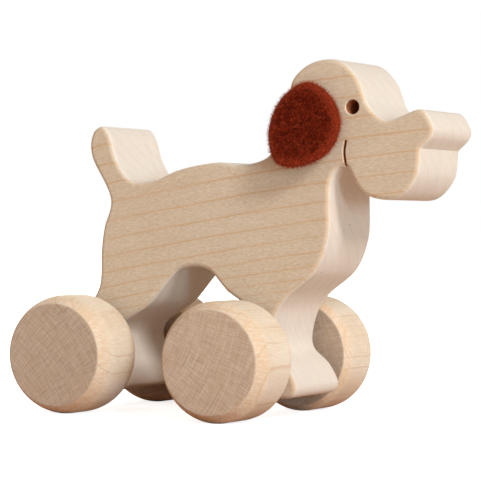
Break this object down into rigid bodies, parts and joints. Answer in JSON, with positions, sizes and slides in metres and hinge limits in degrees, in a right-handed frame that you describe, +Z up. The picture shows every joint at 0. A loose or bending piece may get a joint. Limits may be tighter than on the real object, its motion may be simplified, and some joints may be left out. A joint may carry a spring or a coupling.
{
  "type": "wooden dog push toy",
  "caption": "Push toy in the shape of a standing dog: a sawn maple board with rounded edges and glued felt ears, rolling on dowel axles with thick bevelled wheels.",
  "frame": {"origin": "on the floor, under the middle of the toy's box", "axes": "+X towards the nose, +Y to the dog's left along the axles, +Z up"},
  "size_m": [0.1448, 0.0884, 0.1198],
  "materials": {
    "maple_board": "sanded bare maple, side grain",
    "maple_wheel": "turned bare maple, end grain on the flat faces",
    "axle_dowel": "smooth bare beech dowel",
    "ear_felt": "thick fuzzy wool felt, red-brown"
  },
  "bodies": {
    "dog": {"dog_body": "maple_board", "ear_right": "ear_felt", "ear_left": "ear_felt"},
    "front_wheelset": {"axle_front": "axle_dowel", "wheel_front_right": "maple_wheel", "wheel_front_left": "maple_wheel"},
    "rear_wheelset": {"axle_rear": "axle_dowel", "wheel_rear_right": "maple_wheel", "wheel_rear_left": "maple_wheel"}
  },
  "joints": [
    {"name": "front_axle_spin", "type": "hinge", "parent": "dog", "child": "front_wheelset", "pos_m": [0.00663, 0, 0.02], "axis": [0, 1, 0], "continuous": true},
    {"name": "rear_axle_spin", "type": "hinge", "parent": "dog", "child": "rear_wheelset", "pos_m": [-0.05237, 0, 0.02], "axis": [0, 1, 0], "continuous": true}
  ]
}
